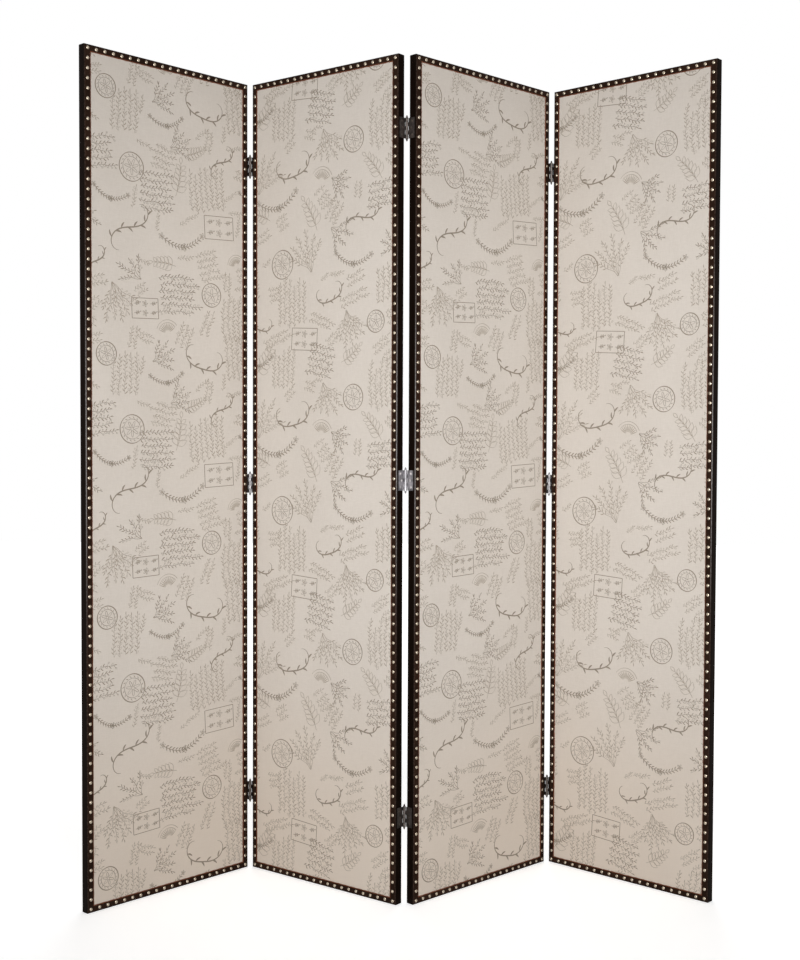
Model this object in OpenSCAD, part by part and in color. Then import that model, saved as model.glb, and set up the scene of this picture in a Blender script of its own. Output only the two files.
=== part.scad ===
// Folding screen: four upholstered panels, hinged edge to edge, standing in a zig-zag.
// Seen from the front (-Y) the panels are numbered 1 to 4 from left to right.
// A panel is drawn in its own frame: x from its left edge to its right edge, y from front
// to back about its middle plane, z up from the floor.
// A hinge is drawn with its pin on the z axis and the panel that it is screwed to at -x and +y.

/* [Panel] */
// Height of a panel over its leather edges
panel_h = 2134; // [1500:1:2400]
// Width of a panel over its leather edges
panel_w = 508; // [380:1:700]
// Thickness of the timber frame inside a panel
timber_t = 16; // [15:0.5:30]
// Width of the two stiles
stile_w = 45; // [45:1:80]
// Width of the three rails
rail_w = 60; // [50:1:120]
// Length of the tenon on each end of a rail
tenon_l = 20; // [12:1:22]
// Thickness of the tenons
tenon_t = 6; // [4:0.5:8]
// Shoulder above and below each tenon
tenon_shoulder = 10; // [4:1:15]
// Play round a tenon in its mortise
tenon_play = 0.1; // [0.05:0.05:0.3]
// Thickness of the hardboard skin on each face
skin_t = 3; // [3:0.5:6]
// Thickness of the cloth stretched over the skins
fabric_t = 0.8; // [0.4:0.1:1]
// Gap between the front and back cloth where both are turned over an edge
fabric_gap = 0.6; // [0.2:0.1:3]

/* [Leather edge] */
// Thickness of the leather
band_t = 1.2; // [0.8:0.1:1.5]
// Width of the leather that shows on each face
band_w = 18.5; // [16:0.5:30]
// Radius of the rounded edges over the leather
edge_r = 3; // [2.8:0.1:3.8]
// Seam between two strips where they meet in a mitre
seam = 0.3; // [0.2:0.1:1]

/* [Nails] */
// Diameter of a domed nail head
nail_d = 9.8; // [7:0.1:12]
// Height of the dome
nail_h = 2.5; // [1.5:0.1:3.5]
// Distance between neighbouring nails, which is evened out along each side
nail_pitch = 24.4; // [14:0.1:60]
// Distance of the nails from the edge of the panel
nail_inset = 9.4; // [8:0.1:10]

/* [Hinges] */
// Height of a leaf
leaf_h = 51; // [40:1:90]
// Thickness of a leaf
leaf_t = 1.8; // [1.8:0.1:2.4]
// How far a leaf reaches across the edge of the panel
leaf_reach = 20; // [17:0.5:22]
// Number of knuckles on a hinge
knuckles = 5; // [3, 5, 7]
// Outer diameter of the knuckles
knuckle_d = 8; // [7:0.1:11]
// Gap between neighbouring knuckles
knuckle_gap = 0.3; // [0.2:0.1:0.6]
// Gap between the barrel and the face of the panel
barrel_gap = 0.4; // [0.3:0.1:2]
// Diameter of the pin
pin_d = 4; // [3:0.1:4.2]
// Play round the pin, on the radius
pin_play = 0.05; // [0.02:0.01:0.1]
// Length of the pointed tip beyond each end of the barrel
tip_l = 7.5; // [6:0.1:12]
// Diameter of the tip's collar
tip_d = 6.8; // [6.4:0.1:8]
// Height of the tip's collar
collar_h = 2.4; // [2:0.1:3]
// Depth of the socket by which the lower tip is pressed on the pin
socket_l = 1.8; // [1:0.1:1.9]
// Play of the pin in that socket, on the radius
socket_play = 0.02; // [0.01:0.01:0.05]
// Gap between a tip and the barrel
tip_gap = 0.2; // [0.1:0.1:0.5]

/* [Screws] */
// Length of a hinge screw
screw_l = 20; // [14:1:22]
// Diameter of its shank
screw_d = 3; // [2.5:0.1:3.5]
// Diameter of its countersunk head
screw_head_d = 6.4; // [5.6:0.1:6.6]
// Length of its point
screw_point_l = 3; // [2:0.5:5]
// Play round a screw, on the radius
screw_play = 0.05; // [0.02:0.01:0.1]
// Width of the cross in its head
cross_w = 0.9; // [0.6:0.1:1.2]
// Length of the cross
cross_l = 3.2; // [2.4:0.1:4]
// Depth of the cross
cross_depth = 1; // [0.5:0.1:1.3]
// Distance of the screws from the face that the barrel lies on
screw_in = 13; // [12:0.5:14]
// How much nearer to the barrel the middle screw sits
screw_stagger = 4; // [0:0.5:5]
// Distance of the outer screws from the middle of the leaf
screw_spread = 17; // [12:0.5:20]

/* [Hinge places] */
// Middle of the lower hinge above the floor, at the two outer joints
outer_low = 213; // [120:1:400]
// Middle of the upper hinge below the top edge, at the two outer joints
outer_high = 220; // [120:1:400]
// How far the middle hinge sits below half height, at the two outer joints
outer_drop = 10; // [-60:1:60]
// Middle of the lower hinge above the floor, at the centre joint
centre_low = 221; // [120:1:400]
// Middle of the upper hinge below the top edge, at the centre joint
centre_high = 180; // [120:1:400]
// How far the middle hinge sits below half height, at the centre joint
centre_drop = -8; // [-60:1:60]

/* [Fold] */
// Turn of panel 1 from straight across the room
lead_turn = 48; // [0:0.1:90]
// Angle between panels 1 and 2
open_12 = 95; // [0:0.1:180]
// Angle between panels 2 and 3
open_23 = 97.6; // [0:0.1:180]
// Angle between panels 3 and 4
open_34 = 93.1; // [0:0.1:180]

/* [Hidden] */
PANELS = [1, 2, 3, 4];
JOINTS = [1, 2, 3];
FRONT = -1;
BACK = 1;
// Face on which the pins of each joint lie
pin_side = [FRONT, BACK, FRONT];

panel_parts = ["stiles", "rails", "skin_front", "skin_back", "fabric_front", "fabric_back",
    "edge_band", "nails_front", "nails_back"];
function panel_node(p, part) = str("panel_", p, "_", part);
function hinge_node(j, part) = str("hinges_", j, j + 1, "_", part);

$fn = 48;
// Extra depth that carries a cut through a surface
through = 1;

// Thickness of everything that is wrapped round the timber and skins at an edge
cover_t = band_t + fabric_t;
body_t = timber_t + 2 * (skin_t + fabric_t);
panel_t = body_t + 2 * band_t;
nails_across = round((panel_w - 2 * nail_inset) / nail_pitch);
nails_down = round((panel_h - 2 * nail_inset) / nail_pitch);
nail_step_x = (panel_w - 2 * nail_inset) / nails_across;
nail_step_z = (panel_h - 2 * nail_inset) / nails_down;

// The pin's axis stands this far off the edge of the panel and off its face
pin_out = knuckle_d / 2;
pin_off = knuckle_d / 2 + barrel_gap;
pin_y = panel_t / 2 + pin_off;
pin_bore_d = pin_d + 2 * pin_play;
leaf_end = pin_off + leaf_reach;
knuckle_l = (leaf_h - (knuckles - 1) * knuckle_gap) / knuckles;
screw_head_h = (screw_head_d - screw_d) / 2;

function hinge_heights(j) = j == 2
    ? [centre_low, panel_h / 2 - centre_drop, panel_h - centre_high]
    : [outer_low, panel_h / 2 - outer_drop, panel_h - outer_high];

// Plan of the zig-zag: the turn of each panel, and the place of its left edge
function turned(v, a) = [v.x * cos(a) - v.y * sin(a), v.x * sin(a) + v.y * cos(a)];
turn_2 = lead_turn - (180 - open_12);
turn_3 = turn_2 + (180 - open_23);
turn_4 = turn_3 - (180 - open_34);
turns = [lead_turn, turn_2, turn_3, turn_4];
function pin_on_right(j) = [panel_w + pin_out, pin_side[j - 1] * pin_y];
function pin_on_left(j) = [-pin_out, pin_side[j - 1] * pin_y];
function next_start(start, j) = start + turned(pin_on_right(j), turns[j - 1])
    - turned(pin_on_left(j), turns[j]);
start_1 = [0, 0];
start_2 = next_start(start_1, 1);
start_3 = next_start(start_2, 2);
start_4 = next_start(start_3, 3);
starts = [start_1, start_2, start_3, start_4];

// Middle of the plan, from the centres of the rounded corners
corner_y = panel_t / 2 - edge_r;
corners = [for (i = [0:3]) for (x = [edge_r, panel_w - edge_r]) for (y = [-corner_y, corner_y])
    starts[i] + turned([x, y], turns[i])];
corner_xs = [for (c = corners) c.x];
corner_ys = [for (c = corners) c.y];
middle = [(min(corner_xs) + max(corner_xs)) / 2, (min(corner_ys) + max(corner_ys)) / 2];
pins = [for (j = JOINTS) starts[j - 1] + turned(pin_on_right(j), turns[j - 1]) - middle];
echo(turns = turns, starts = [for (s = starts) s - middle], pins = pins);

// Puts a shape drawn in a panel's frame in its place in the zig-zag
module on_panel(p) {
    place = starts[p - 1] - middle;
    translate([place.x, place.y, 0]) rotate([0, 0, turns[p - 1]]) children();
}

// Puts a hinge part on the edge of panel p, at each hinge of joint j, in the panel's frame
module at_hinges(p, j) {
    on_left = p != j;
    pin = on_left ? pin_on_left(j) : pin_on_right(j);
    for (z = hinge_heights(j))
        translate([pin.x, pin.y, z])
            mirror([on_left ? 1 : 0, 0, 0])
                mirror([0, pin_side[j - 1] == BACK ? 1 : 0, 0])
                    children();
}

// The joints that panel p belongs to
function joints_of(p) = [for (j = JOINTS) if (j == p || j + 1 == p) j];

// Rectangle with rounded corners, about the origin
module rounded_rectangle(a, b, r) {
    square([a - 2 * r, b], center = true);
    square([a, b - 2 * r], center = true);
    for (x = [-1, 1]) for (y = [-1, 1])
        translate([x * (a / 2 - r), y * (b / 2 - r)]) circle(r);
}

// Panel shape shrunk by a wall all round, with its long and short edges rounded
module slab(wall, thickness) {
    w = panel_w - 2 * wall;
    h = panel_h - 2 * wall;
    r = edge_r - wall;
    translate([panel_w / 2, 0, panel_h / 2])
        intersection() {
            linear_extrude(h, center = true) rounded_rectangle(w, thickness, r);
            rotate([90, 0, 90]) linear_extrude(w, center = true) rounded_rectangle(thickness, h, r);
        }
}

module band_shape() { slab(0, panel_t); }
module fabric_shape() { slab(band_t, body_t); }
module board_shape() { slab(cover_t, body_t - 2 * fabric_t); }

// Everything in front of (or behind) a plane parallel to the faces
module half_space(side, y) {
    translate([-through, side == FRONT ? -panel_t : y, -through])
        cube([panel_w + 2 * through, panel_t - (side == FRONT ? -y : y), panel_h + 2 * through]);
}

// Holes of the hinge screws in the edges of panel p
module hinge_screw_holes(p) {
    for (j = joints_of(p)) at_hinges(p, j) each_screw() screw_hole();
}

rail_l = panel_w - 2 * (cover_t + stile_w);
rail_bottoms = [cover_t, (panel_h - rail_w) / 2, panel_h - cover_t - rail_w];

module tenon_block(play) {
    x = cover_t + stile_w - tenon_l - play;
    for (z = rail_bottoms)
        translate([x, -tenon_t / 2 - play, z + tenon_shoulder - play])
            cube([panel_w - 2 * x, tenon_t + 2 * play, rail_w - 2 * (tenon_shoulder - play)]);
}

module stiles(p) {
    color("burlywood")
        difference() {
            for (x = [cover_t, panel_w - cover_t - stile_w])
                translate([x, -timber_t / 2, cover_t])
                    cube([stile_w, timber_t, panel_h - 2 * cover_t]);
            tenon_block(tenon_play);
            hinge_screw_holes(p);
        }
}

module rails() {
    color("tan")
        union() {
            for (z = rail_bottoms)
                translate([cover_t + stile_w, -timber_t / 2, z]) cube([rail_l, timber_t, rail_w]);
            tenon_block(0);
        }
}

// Hardboard on one face of the timber frame
module skin(side) {
    color("peru")
        intersection() {
            board_shape();
            half_space(side, side * timber_t / 2);
        }
}

// Cloth of one face, turned over all four edges to the middle of the panel's thickness
module fabric(p, side) {
    color([0.77, 0.72, 0.66])
        difference() {
            intersection() {
                fabric_shape();
                half_space(side, side * fabric_gap / 2);
            }
            board_shape();
            hinge_screw_holes(p);
        }
}

// Four strips that wrap the edges and lie on both faces, mitred at the corners
module edge_band(p) {
    color([0.16, 0.11, 0.09])
        difference() {
            band_shape();
            fabric_shape();
            translate([band_w, -panel_t, band_w])
                cube([panel_w - 2 * band_w, 2 * panel_t, panel_h - 2 * band_w]);
            mitre_seams();
            hinge_screw_holes(p);
        }
}

module mitre_seams() {
    reach = 2 * band_w;
    for (right = [0, 1]) for (top = [0, 1])
        translate([right * panel_w, 0, top * panel_h])
            mirror([right, 0, 0]) mirror([0, 0, top])
                rotate([0, -45, 0])
                    translate([-through, -panel_t, -seam / 2]) cube([reach, 2 * panel_t, seam]);
}

// Domed head, flat on the leather
module nail() {
    dome_r = ((nail_d / 2) ^ 2 + nail_h ^ 2) / (2 * nail_h);
    rotate_extrude()
        intersection() {
            translate([0, nail_h - dome_r]) circle(dome_r);
            square([nail_d / 2, nail_h]);
        }
}

module nails(side) {
    color([0.72, 0.6, 0.42]) {
        for (i = [0:nails_across]) for (z = [nail_inset, panel_h - nail_inset])
            nail_at(nail_inset + i * nail_step_x, z, side);
        for (k = [1:nails_down - 1]) for (x = [nail_inset, panel_w - nail_inset])
            nail_at(x, nail_inset + k * nail_step_z, side);
    }
}

module nail_at(x, z, side) {
    translate([x, side * panel_t / 2, z]) rotate([-side * 90, 0, 0]) nail();
}

// Section of a leaf through one of its own knuckles: the plate runs into the barrel
module leaf_section() {
    difference() {
        union() {
            circle(d = knuckle_d);
            translate([-pin_out, 0]) square([leaf_t, leaf_end]);
        }
        circle(d = pin_bore_d);
    }
}

// A leaf with every second knuckle, counted from the one named first
module leaf(first) {
    plate_start = knuckle_d / 2 + knuckle_gap;
    color([0.6, 0.58, 0.55])
        difference() {
            union() {
                translate([-pin_out, plate_start, -leaf_h / 2])
                    cube([leaf_t, leaf_end - plate_start, leaf_h]);
                for (k = [first:2:knuckles - 1])
                    translate([0, 0, k * (knuckle_l + knuckle_gap) - leaf_h / 2])
                        linear_extrude(knuckle_l) leaf_section();
            }
            each_screw() screw_hole();
        }
}

// Pointed tip that stands on z = 0
module tip() {
    waist_r = pin_d / 2 + 0.2;
    belly_r = pin_d / 2 + 0.7;
    point_r = 0.5;
    rotate_extrude()
        polygon([[0, 0], [tip_d / 2, 0], [tip_d / 2, collar_h / 2], [waist_r, collar_h],
            [belly_r, collar_h + 0.25 * (tip_l - collar_h)], [point_r, tip_l - point_r], [0, tip_l]]);
}

// Pin with its upper tip in one piece, and the lower tip pressed on its end
module pin() {
    end_z = leaf_h / 2 + tip_gap;
    color([0.66, 0.64, 0.6]) {
        union() {
            translate([0, 0, -end_z - socket_l]) cylinder(h = 2 * end_z + socket_l, d = pin_d);
            translate([0, 0, end_z]) tip();
        }
        translate([0, 0, -end_z])
            mirror([0, 0, 1])
                difference() {
                    tip();
                    translate([0, 0, -through])
                        cylinder(h = through + socket_l + socket_play, d = pin_d + 2 * socket_play);
                }
    }
}

// The three screws of a leaf, drawn with the head at z = 0 and the point at -z
module each_screw() {
    for (s = [-1, 0, 1])
        translate([-pin_out + leaf_t, pin_off + screw_in - (s == 0 ? screw_stagger : 0), s * screw_spread])
            rotate([0, 90, 0])
                children();
}

module screw() {
    color([0.75, 0.73, 0.7])
        difference() {
            rotate_extrude()
                polygon([[0, 0], [screw_head_d / 2, 0], [screw_d / 2, -screw_head_h],
                    [screw_d / 2, screw_point_l - screw_l], [0, -screw_l]]);
            for (a = [0, 90])
                rotate([0, 0, a])
                    translate([-cross_l / 2, -cross_w / 2, -cross_depth])
                        cube([cross_l, cross_w, cross_depth + through]);
        }
}

module screw_hole() {
    head_r = screw_head_d / 2 + screw_play;
    shank_r = screw_d / 2 + screw_play;
    rotate_extrude()
        polygon([[0, through], [head_r, through], [head_r, 0], [shank_r, -screw_head_h],
            [shank_r, -screw_l - screw_play], [0, -screw_l - screw_play]]);
}

for (p = PANELS) {
    on_panel(p) stiles(p);
    on_panel(p) rails();
    on_panel(p) skin(FRONT);
    on_panel(p) skin(BACK);
    on_panel(p) fabric(p, FRONT);
    on_panel(p) fabric(p, BACK);
    on_panel(p) edge_band(p);
    on_panel(p) nails(FRONT);
    on_panel(p) nails(BACK);
}
for (j = JOINTS) for (p = [j, j + 1]) {
    leaves = hinge_node(j, str("leaves_", p));
    screws = hinge_node(j, str("screws_", p));
    on_panel(p) at_hinges(p, j) leaf(p - j);
    on_panel(p) at_hinges(p, j) each_screw() screw();
}
for (j = JOINTS)
    on_panel(j) at_hinges(j, j) pin();
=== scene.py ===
"""Dresses a hinged folding screen: printed cloth, leather edges, domed nails and hinge metal."""

import math
import random

import bpy
import numpy as np
from bpy.props import FloatProperty, FloatVectorProperty, IntProperty, PointerProperty
from bpy.types import Operator, Panel, PropertyGroup
from mathutils import Matrix, Vector


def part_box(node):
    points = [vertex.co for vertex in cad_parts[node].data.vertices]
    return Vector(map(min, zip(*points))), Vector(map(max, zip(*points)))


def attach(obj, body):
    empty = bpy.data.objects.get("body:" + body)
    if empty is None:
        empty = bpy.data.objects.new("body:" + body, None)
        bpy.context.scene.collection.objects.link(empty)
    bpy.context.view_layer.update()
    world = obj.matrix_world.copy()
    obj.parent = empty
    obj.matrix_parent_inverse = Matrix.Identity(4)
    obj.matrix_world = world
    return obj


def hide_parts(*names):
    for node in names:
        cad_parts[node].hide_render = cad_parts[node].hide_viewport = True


bl_info = {
    "name": "Folding Screen",
    "version": (1, 0, 0),
    "blender": (4, 5, 0),
    "location": "View3D > Sidebar > Screen",
    "description": "Dresses a folding screen with printed cloth, leather edges, nails and hinge metal",
    "category": "Object",
}

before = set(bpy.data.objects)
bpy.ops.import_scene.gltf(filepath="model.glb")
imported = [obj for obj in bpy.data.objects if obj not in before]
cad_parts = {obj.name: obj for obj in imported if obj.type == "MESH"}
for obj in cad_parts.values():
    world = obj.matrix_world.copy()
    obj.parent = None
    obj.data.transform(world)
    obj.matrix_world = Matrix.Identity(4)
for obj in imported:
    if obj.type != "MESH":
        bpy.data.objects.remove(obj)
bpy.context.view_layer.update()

PANEL_NUMBERS = (1, 2, 3, 4)
# Which way each face of a panel looks along its y
FRONT, BACK = -1.0, 1.0
FACES = {"front": FRONT, "back": BACK}
# Points of the frame that lie this close to a plane are on it
HAIR = 2e-5


def zipped(*parts):
    """Coordinates side by side, one row for each point."""
    return np.stack(parts, axis=-1)


def vertices_of(node):
    """Vertices of a CAD node as rows of x, y and z."""
    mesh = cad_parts[node].data
    flat = np.empty(len(mesh.vertices) * 3, np.float32)
    mesh.vertices.foreach_get("co", flat)
    return flat.reshape(-1, 3).astype(float)


class ScreenPanel:
    """One panel's sizes, and its own frame: x across, y from front to back, z up from the floor."""

    def __init__(self, number):
        self.number = number
        self.body = f"panel_{number}"
        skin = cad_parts[self.node("skin_front")].data
        through = max(skin.polygons, key=lambda face: face.area).normal.copy()
        if through.dot(self.middle("skin_back") - self.middle("skin_front")) < 0:
            through.negate()
        across = Vector((through.y, -through.x, 0.0))
        self.matrix = Matrix((across, through, Vector((0.0, 0.0, 1.0)))).transposed().to_4x4()
        leather = self.local("edge_band")
        low, high = leather.min(axis=0), leather.max(axis=0)
        self.width, depth, self.height = (float(size) for size in high - low)
        self.matrix = self.matrix @ Matrix.Translation((low[0], (low[1] + high[1]) / 2, 0.0))
        leather = self.local("edge_band")
        self.face = depth / 2
        self.cloth = float(np.abs(self.local("fabric_front")[:, 1]).max())
        on_face = leather[np.abs(leather[:, 1]) > self.face - HAIR]
        margins = self.from_edge(on_face[:, 0], on_face[:, 2])
        self.leather_width, self.corner = float(margins.max()), float(margins.min())

    def node(self, part):
        return f"{self.body}_{part}"

    def middle(self, part):
        low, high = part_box(self.node(part))
        return (low + high) / 2

    def local(self, part):
        """Vertices of one of the panel's CAD nodes, in the panel's frame."""
        inverse = np.array(self.matrix.inverted())
        return vertices_of(self.node(part)) @ inverse[:3, :3].T + inverse[:3, 3]

    def from_edge(self, x, z):
        """Distance of places on a face from the nearest edge of the panel."""
        return np.minimum(np.minimum(x, self.width - x), np.minimum(z, self.height - z))

    def nail_places(self, face):
        """Places of the nails of a face, as rows of x and z, and the height of their domes."""
        points = self.local(f"nails_{face}")
        rise = np.abs(points[:, 1])
        tops = points[rise > rise.max() - HAIR][:, [0, 2]]
        return np.unique(tops.round(5), axis=0), float(rise.max() - self.face)


PANELS = [ScreenPanel(number) for number in PANEL_NUMBERS]
CAD_NAILS, DOME_HEIGHT = PANELS[0].nail_places("front")
NAIL_INSET = float(CAD_NAILS.min())


def outward(side, u, depth, z, width):
    """Points on a face as seen from its own side: u runs from the viewer's left to the right."""
    return zipped(u if side == FRONT else width - u, side * depth, z)


def both_ways(operation):
    """Methods of an operator: as written, and reflected for when the number comes first."""
    return (
        lambda self, other: self.math(operation, self, other),
        lambda self, other: self.math(operation, other, self),
    )


class Value:
    """A node socket on which Python's own operators build the shader's maths."""

    __add__, __radd__ = both_ways("ADD")
    __sub__, __rsub__ = both_ways("SUBTRACT")
    __mul__, __rmul__ = both_ways("MULTIPLY")

    def __init__(self, tree, socket):
        self.tree = tree
        self.socket = socket

    def math(self, operation, *terms):
        node = self.tree.nodes.new("ShaderNodeMath")
        node.operation = operation
        for place, term in zip(node.inputs, terms):
            plug(self.tree, place, term)
        return Value(self.tree, node.outputs[0])

    def __abs__(self):
        return self.math("ABSOLUTE", self)

    def sine(self):
        return self.math("SINE", self)

    def least(self, other):
        return self.math("MINIMUM", self, other)

    def above(self, other):
        return self.math("GREATER_THAN", self, other)


def plug(tree, place, term):
    """Links a Value to an input socket, or writes a plain number or colour on it."""
    if isinstance(term, Value):
        tree.links.new(term.socket, place)
    else:
        place.default_value = term


# Places of the colour sockets on a Mix node, and of its colour output
MIX_SHARE, MIX_FIRST, MIX_SECOND, MIX_COLOUR = 0, 6, 7, 2


class Finish:
    """A material with one Principled shader, to which nodes are added one by one."""

    def __init__(self, name, constants):
        self.material = bpy.data.materials.new(name)
        self.material.use_nodes = True
        self.tree = self.material.node_tree
        self.shader = self.tree.nodes["Principled BSDF"]
        self.set(constants)

    def set(self, sockets):
        for name, term in sockets.items():
            plug(self.tree, self.shader.inputs[name], term)

    def node(self, kind, settings=None, sockets=None, out=0):
        """Adds a node: its settings first, then its sockets; gives back one of its outputs."""
        node = self.tree.nodes.new(kind)
        for name, setting in (settings or {}).items():
            setattr(node, name, setting)
        for name, term in (sockets or {}).items():
            plug(self.tree, node.inputs[name], term)
        return Value(self.tree, node.outputs[out])

    def place(self):
        """Place on the piece in its own frame, in metres."""
        return self.node("ShaderNodeTexCoord", out="Object")

    def axes(self):
        split = self.tree.nodes.new("ShaderNodeSeparateXYZ")
        plug(self.tree, split.inputs[0], self.place())
        return [Value(self.tree, output) for output in split.outputs]

    def vector(self, operation, sockets, out=0):
        return self.node("ShaderNodeVectorMath", {"operation": operation}, sockets, out)

    def stretched(self, scale):
        """Place on the piece with each axis scaled by itself."""
        return self.vector("MULTIPLY", {0: self.place(), 1: scale})

    def noise(self, place, scale, detail=3.0, roughness=0.55):
        sockets = {"Vector": place, "Scale": scale, "Detail": detail, "Roughness": roughness}
        return self.node("ShaderNodeTexNoise", {}, sockets, "Fac")

    def ease(self, value, low, high, start=0.0, end=1.0):
        """Runs smoothly from start to end as the value goes from low to high."""
        sockets = {"Value": value, "From Min": low, "From Max": high, "To Min": start, "To Max": end}
        return self.node("ShaderNodeMapRange", {"interpolation_type": "SMOOTHSTEP"}, sockets)

    def mix(self, share, first, second):
        """Colour between two colours."""
        sockets = {MIX_SHARE: share, MIX_FIRST: first, MIX_SECOND: second}
        return self.node("ShaderNodeMix", {"data_type": "RGBA"}, sockets, MIX_COLOUR)

    def shades(self, share, colour, dark, light):
        """One colour that varies between a darker and a lighter shade."""
        return self.mix(share, rgba(colour, dark), rgba(colour, light))

    def bump(self, height, depth, strength=1.0):
        sockets = {"Height": height, "Distance": depth, "Strength": strength}
        self.set({"Normal": self.node("ShaderNodeBump", {}, sockets)})


def rgba(colour, shade=1.0):
    """Colour as the four numbers of a socket, made lighter or darker by a shade."""
    return (*(min(1.0, part * shade) for part in colour), 1.0)


def cloth_finish(cloth):
    """Plain-woven cotton and linen: crossing threads, slubs, and a warmer tone near the floor that is
    painted bounce light from it.
    """
    finish = Finish("printed cloth", {
        "Roughness": 0.88, "Sheen Weight": 0.08, "Specular IOR Level": 0.25,
    })
    x, _, z = finish.axes()
    wave = math.pi / cloth.thread
    warp, weft = (x * wave).sine(), (z * wave).sine()
    over = (warp * weft).above(0.0)
    weave = abs(warp) * over + abs(weft) * (1.0 - over)
    along, across = 60.0, 1100.0
    slub_x = finish.noise(finish.stretched((along, along, across)), 1.0, 2.0)
    slub_z = finish.noise(finish.stretched((across, along, along)), 1.0, 2.0)
    cloud = finish.noise(finish.place(), 3.5, 2.0)
    tone = 0.25 * slub_x + 0.25 * slub_z + 0.2 * cloud + 0.1 * weave
    woven = finish.mix(finish.ease(tone, 0.2, 0.62), rgba(cloth.shadow), rgba(cloth.ground))
    # Painted bounce light: the cloth turns warmer towards the floor, as if warm light bounced up from
    # it
    near_floor = finish.ease(z, 0.3 * PANELS[0].height, 0.05 * PANELS[0].height)
    finish.set({"Base Color": finish.mix(near_floor * 0.5, woven, rgba(cloth.painted_bounce))})
    finish.bump(weave + 0.8 * slub_x + 0.8 * slub_z, cloth.thread * 0.35, 0.55)
    return finish.material


def ink_finish(name, colour):
    """Print that has sunk into the threads."""
    finish = Finish(name, {"Base Color": rgba(colour), "Specular IOR Level": 0.2})
    grain = finish.noise(finish.place(), 900.0, 2.0)
    finish.set({"Roughness": finish.ease(grain, 0.3, 0.7, 0.8, 0.95)})
    finish.bump(grain, 0.0002, 0.3)
    return finish.material


def leather_finish(leather, panel):
    """Dark coated leather: pebbled grain and a reddish cut edge beside the cloth; its narrow sides
    carry a painted shade, and its rounded corners a lighter colour that is partly wear and partly a
    painted highlight.

    Hands have polished its corners near half height."""
    finish = Finish("edge leather", {
        "Specular IOR Level": 0.012, "Specular Tint": rgba(leather.sheen), "Coat Roughness": 0.22,
    })
    x, y, z = finish.axes()
    cells = {"Vector": finish.place(), "Scale": 1.0 / leather.grain, "Smoothness": 0.6}
    pebble = finish.node("ShaderNodeTexVoronoi", {"feature": "SMOOTH_F1"}, cells, "Distance")
    crease = finish.noise(finish.place(), 0.35 / leather.grain, 4.0)
    blotch = finish.noise(finish.place(), 14.0, 3.0)
    inset = x.least(panel.width - x).least(z.least(panel.height - z))
    cut_from, cut_full = panel.leather_width - 0.0032, panel.leather_width - 0.0012
    cut = finish.ease(inset, cut_from, cut_full)
    corner = finish.ease(abs(y), panel.face - panel.corner, panel.face - panel.corner * 0.3)
    edge = finish.ease(inset, panel.corner, 0.0)
    rounding = finish.ease(corner * edge, 0.01, 0.14)
    rubbed_and_highlit = finish.ease(crease, 0.3, 0.62) * rounding
    base = finish.shades(finish.ease(blotch, 0.35, 0.7), leather.colour, 0.8, 1.3)
    # Painted shade: the narrow sides take a darker colour than the faces, as if less light reached them
    shaded = finish.mix(edge, base, rgba(leather.side))
    # Partly wear and partly a painted highlight: the rounded corners turn lighter along their length
    worn_and_highlight = finish.mix(rubbed_and_highlit * 0.35, shaded, rgba(leather.worn_and_highlight))
    finish.set({"Base Color": finish.mix(cut, worn_and_highlight, rgba(leather.cut_edge))})
    hand_height, hand_reach = 0.56 * panel.height, 0.6
    held = finish.ease(abs(z - hand_height), hand_reach, 0.0)
    finish.set({"Coat Weight": rounding * held * finish.ease(crease, 0.2, 0.6, 0.75, 1.0)})
    uneven = crease + 0.3 * blotch
    finish.set({"Roughness": finish.ease(uneven, 0.4, 0.9, leather.gloss, leather.gloss + 0.2)})
    finish.bump(0.7 * pebble + 0.5 * crease, leather.grain * 0.3, 0.6)
    return finish.material


def nail_finish(nails, panel):
    """Old brass: bright on the dome, darker down at the rim, partly patina and partly a painted dark
    reflection.
    """
    finish = Finish("nail brass", {"Metallic": 1.0})
    _, y, _ = finish.axes()
    rise = abs(y) - panel.face
    spots = finish.noise(finish.place(), 160.0, 4.0)
    bright_from, dark_below = 0.0008, 0.0003
    # Partly patina and partly a painted dark reflection: the dome darkens towards its rim
    tarnish_and_dark_reflection = finish.ease(rise + 0.0006 * (spots - 0.5), bright_from, dark_below)
    finish.set({"Base Color": finish.mix(tarnish_and_dark_reflection, rgba(nails.metal), rgba(nails.tarnish_and_dark_reflection))})
    finish.set({"Roughness": finish.ease(spots, 0.3, 0.75, nails.polish, nails.polish + 0.18)})
    finish.bump(finish.noise(finish.place(), 420.0, 2.0), 0.0002, 0.2)
    return finish.material


def steel_finish(name, colour, shade_tint, roughness):
    """Plated steel: fine lines from rolling and a darker bloom in patches.

    The middle hinges carry a painted highlight; the upper and lower ones are darker, a painted shade."""
    finish = Finish(name, {"Metallic": 1.0})
    _, _, z = finish.axes()
    away = abs(z - PANELS[0].height / 2)
    lines = finish.noise(finish.stretched((1600.0, 1600.0, 60.0)), 1.0, 2.0)
    bloom = finish.noise(finish.place(), 90.0, 4.0)
    share = finish.ease(bloom, 0.35, 0.7)
    # Painted highlight and shade: hinges near half height keep the bright colour, those above and below
    # it take a darker tint
    dimmed = [part * left for part, left in zip(colour, shade_tint)]
    bright, shade_dimmed = (finish.shades(share, tint, 0.6, 1.15) for tint in (colour, dimmed))
    highlight_within, shade_beyond = 0.3, 0.6
    far = finish.ease(away, highlight_within, shade_beyond)
    finish.set({"Base Color": finish.mix(far, bright, shade_dimmed)})
    uneven = bloom + 0.4 * lines
    finish.set({"Roughness": finish.ease(uneven, 0.4, 1.0, roughness + 0.12, roughness)})
    finish.bump(lines, 0.0001, 0.25)
    return finish.material


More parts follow.
